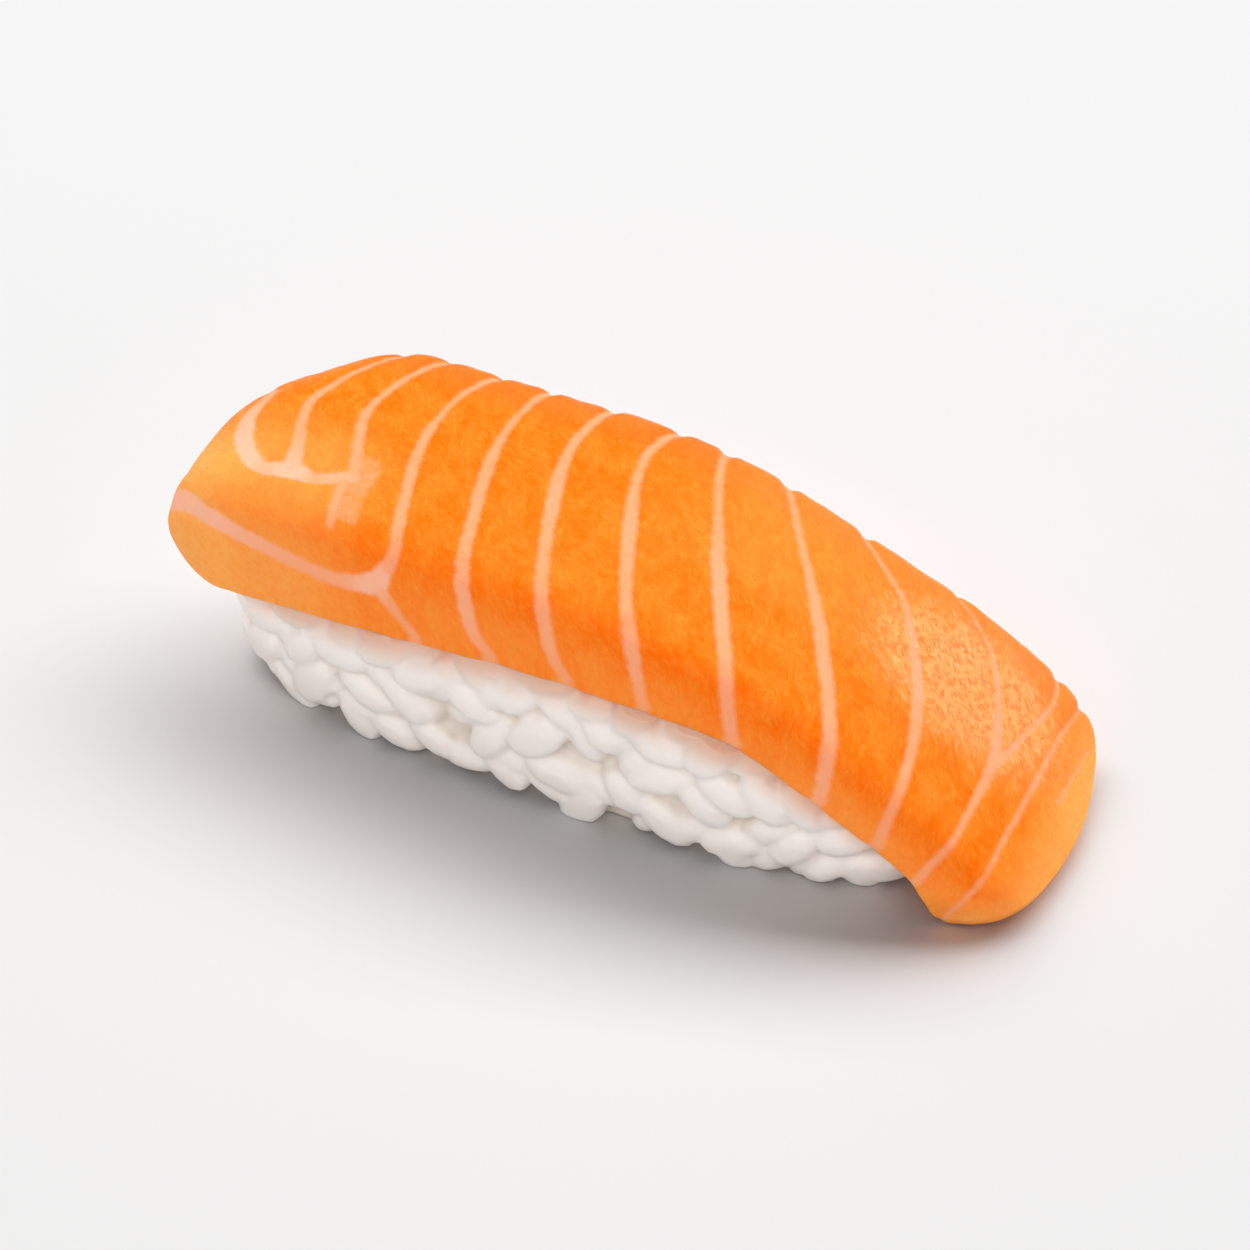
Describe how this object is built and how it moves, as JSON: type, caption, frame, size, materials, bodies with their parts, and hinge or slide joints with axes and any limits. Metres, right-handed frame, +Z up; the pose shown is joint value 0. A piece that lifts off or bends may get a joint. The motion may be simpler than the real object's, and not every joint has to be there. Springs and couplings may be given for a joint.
{
  "type": "salmon nigiri",
  "caption": "Nigiri sushi: a thick slice of raw salmon with pale fat lines, draped over an oblong pressed mound of white rice grains.",
  "frame": {"origin": "centre of the footprint box, on the surface that the piece rests on", "axes": "+X along the length towards the end where the slice hangs down, +Y across towards the far long side, +Z up"},
  "size_m": [0.094, 0.0336, 0.0283],
  "materials": {
    "salmon": "raw salmon flesh, moist, with pale pink fat lines",
    "rice": "cooked short-grain rice, white, slightly translucent and moist"
  },
  "bodies": {
    "root": {"salmon_slice": "salmon", "rice_mound": "rice"}
  },
  "joints": []
}
